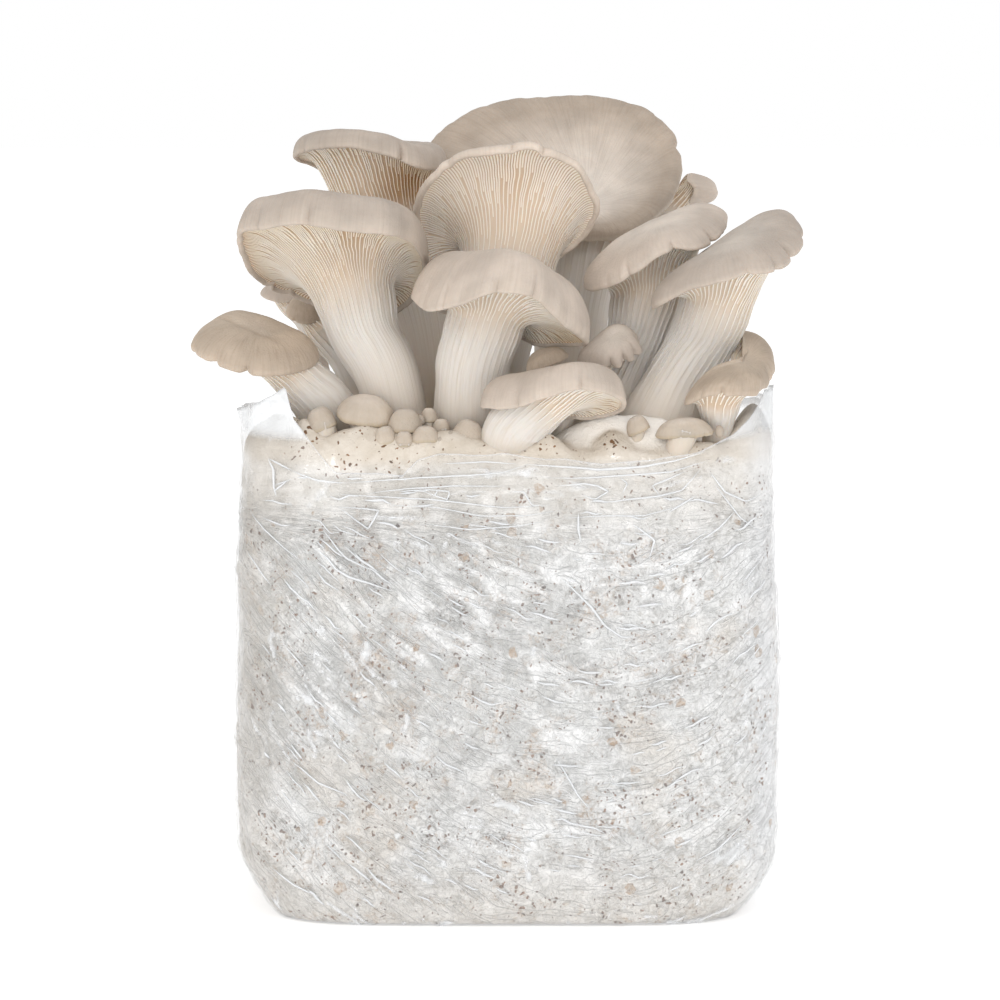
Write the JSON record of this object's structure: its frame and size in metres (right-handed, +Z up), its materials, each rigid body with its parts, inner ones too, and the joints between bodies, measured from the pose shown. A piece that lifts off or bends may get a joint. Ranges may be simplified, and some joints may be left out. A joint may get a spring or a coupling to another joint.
{
  "type": "oyster mushroom grow bag",
  "caption": "Clear film bag of white mycelium, cut open at the top, with a cluster of grey-beige oyster mushrooms growing out of it, their gills running down thick pale stems.",
  "frame": {"origin": "on the surface the bag stands on, below the middle of the whole object's bounding box", "axes": "+Z up; +X to the right and +Y away from the viewer, seen towards the broad face over which the mushrooms lean; the bag's broad faces look along -Y and +Y"},
  "size_m": [0.2292, 0.1496, 0.3062],
  "materials": {
    "film": "gloss",
    "mycelium": "matte",
    "pale_flesh": "satin",
    "taupe_flesh": "satin",
    "button_flesh": "satin"
  },
  "bodies": {
    "root": {"film_bag": "film", "colonised_block": "mycelium", "mushroom_front_center": "pale_flesh", "mushroom_front_low": "pale_flesh", "mushroom_left_tall": "pale_flesh", "mushroom_upper_left": "pale_flesh", "mushroom_center_fan": "pale_flesh", "mushroom_back_large": "taupe_flesh", "mushroom_right_inner": "pale_flesh", "mushroom_right_outer": "pale_flesh", "mushroom_right_low": "taupe_flesh", "mushroom_left_low": "taupe_flesh", "mushroom_back_right": "pale_flesh", "mushroom_middle_shell": "pale_flesh", "mushroom_middle_small": "taupe_flesh", "mushroom_left_dark": "taupe_flesh", "mushroom_left_flat": "pale_flesh", "button_wide": "button_flesh", "button_left": "button_flesh", "button_round": "button_flesh", "button_front_a": "button_flesh", "button_front_b": "button_flesh", "button_front_c": "button_flesh", "button_right": "button_flesh", "button_back": "button_flesh", "button_leaning": "button_flesh", "button_long": "button_flesh", "button_shell": "button_flesh"}
  },
  "joints": []
}
